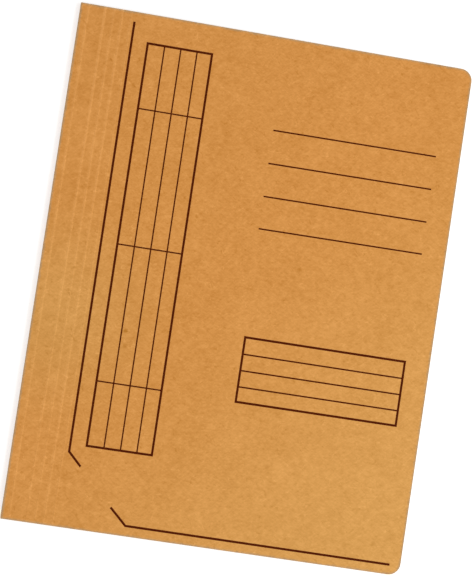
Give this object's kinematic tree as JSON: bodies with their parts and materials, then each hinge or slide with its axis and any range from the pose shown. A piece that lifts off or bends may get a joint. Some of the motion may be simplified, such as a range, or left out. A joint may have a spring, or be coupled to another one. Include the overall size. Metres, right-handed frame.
{
  "type": "fastener folder",
  "caption": "Flat board folder with a scored front cover and an inner tongue fastener with a cover bar and slides.",
  "frame": {"origin": "middle of the closed folder's underside, on the face that lies on the table", "axes": "+X from the spine to the free edge, +Y up the page to the head of the folder, +Z away from the table"},
  "size_m": [0.242, 0.31, 0.0044],
  "materials": {
    "cover_board": "matte",
    "strip_board": "matte",
    "bar_tin": "satin",
    "tongue_tin": "satin",
    "slide_tin": "satin"
  },
  "bodies": {
    "back": {"back_cover": "cover_board", "filing_strip": "strip_board", "fastener_base": "bar_tin", "cover_bar": "bar_tin"},
    "spine": {"spine_panel": "cover_board"},
    "strip_1": {"score_strip_1": "cover_board"},
    "strip_2": {"score_strip_2": "cover_board"},
    "strip_3": {"score_strip_3": "cover_board"},
    "strip_4": {"score_strip_4": "cover_board"},
    "strip_5": {"score_strip_5": "cover_board"},
    "front": {"front_cover": "cover_board"},
    "tongue_top": {"tongue_top": "tongue_tin"},
    "tongue_bottom": {"tongue_bottom": "tongue_tin"},
    "slide_top": {"slide_top": "slide_tin"},
    "slide_bottom": {"slide_bottom": "slide_tin"}
  },
  "joints": [
    {"name": "spine_fold", "type": "hinge", "parent": "back", "child": "spine", "pos_m": [-0.121, 0, 0], "axis": [0, -1, 0], "range_deg": [0, 90]},
    {"name": "cover_fold", "type": "hinge", "parent": "spine", "child": "strip_1", "pos_m": [-0.121, 0, 0.00445], "axis": [0, -1, 0], "range_deg": [0, 57.2]},
    {"name": "score_1", "type": "hinge", "parent": "strip_1", "child": "strip_2", "pos_m": [-0.11625, 0, 0.00445], "axis": [0, -1, 0], "range_deg": [0, 7.25], "stiffness_Nm_per_rad": 0.15},
    {"name": "score_2", "type": "hinge", "parent": "strip_2", "child": "strip_3", "pos_m": [-0.10615, 0, 0.00445], "axis": [0, -1, 0], "range_deg": [0, 7.25], "stiffness_Nm_per_rad": 0.15},
    {"name": "score_3", "type": "hinge", "parent": "strip_3", "child": "strip_4", "pos_m": [-0.1009, 0, 0.00445], "axis": [0, -1, 0], "range_deg": [0, 7.25], "stiffness_Nm_per_rad": 0.15},
    {"name": "score_4", "type": "hinge", "parent": "strip_4", "child": "strip_5", "pos_m": [-0.09565, 0, 0.00445], "axis": [0, -1, 0], "range_deg": [0, 7.25], "stiffness_Nm_per_rad": 0.15},
    {"name": "score_5", "type": "hinge", "parent": "strip_5", "child": "front", "pos_m": [-0.0904, 0, 0.00445], "axis": [0, -1, 0], "range_deg": [0, 7.25], "stiffness_Nm_per_rad": 0.15},
    {"name": "tongue_top_bend", "type": "hinge", "parent": "back", "child": "tongue_top", "pos_m": [-0.101, 0.04013, 0.00255], "axis": [-1, 0, 0], "range_deg": [0, 90]},
    {"name": "tongue_bottom_bend", "type": "hinge", "parent": "back", "child": "tongue_bottom", "pos_m": [-0.101, -0.04013, 0.00255], "axis": [1, 0, 0], "range_deg": [0, 90]},
    {"name": "slide_top_travel", "type": "slide", "parent": "back", "child": "slide_top", "axis": [0, 1, 0], "range_m": [0, 0.012]},
    {"name": "slide_bottom_travel", "type": "slide", "parent": "back", "child": "slide_bottom", "axis": [0, -1, 0], "range_m": [0, 0.012]}
  ],
  "couplings": [
    {"joint": "cover_fold", "follows": "spine_fold", "ratio": 0.6355},
    {"joint": "tongue_top_bend", "follows": "spine_fold", "ratio": 1},
    {"joint": "tongue_bottom_bend", "follows": "spine_fold", "ratio": 1}
  ]
}
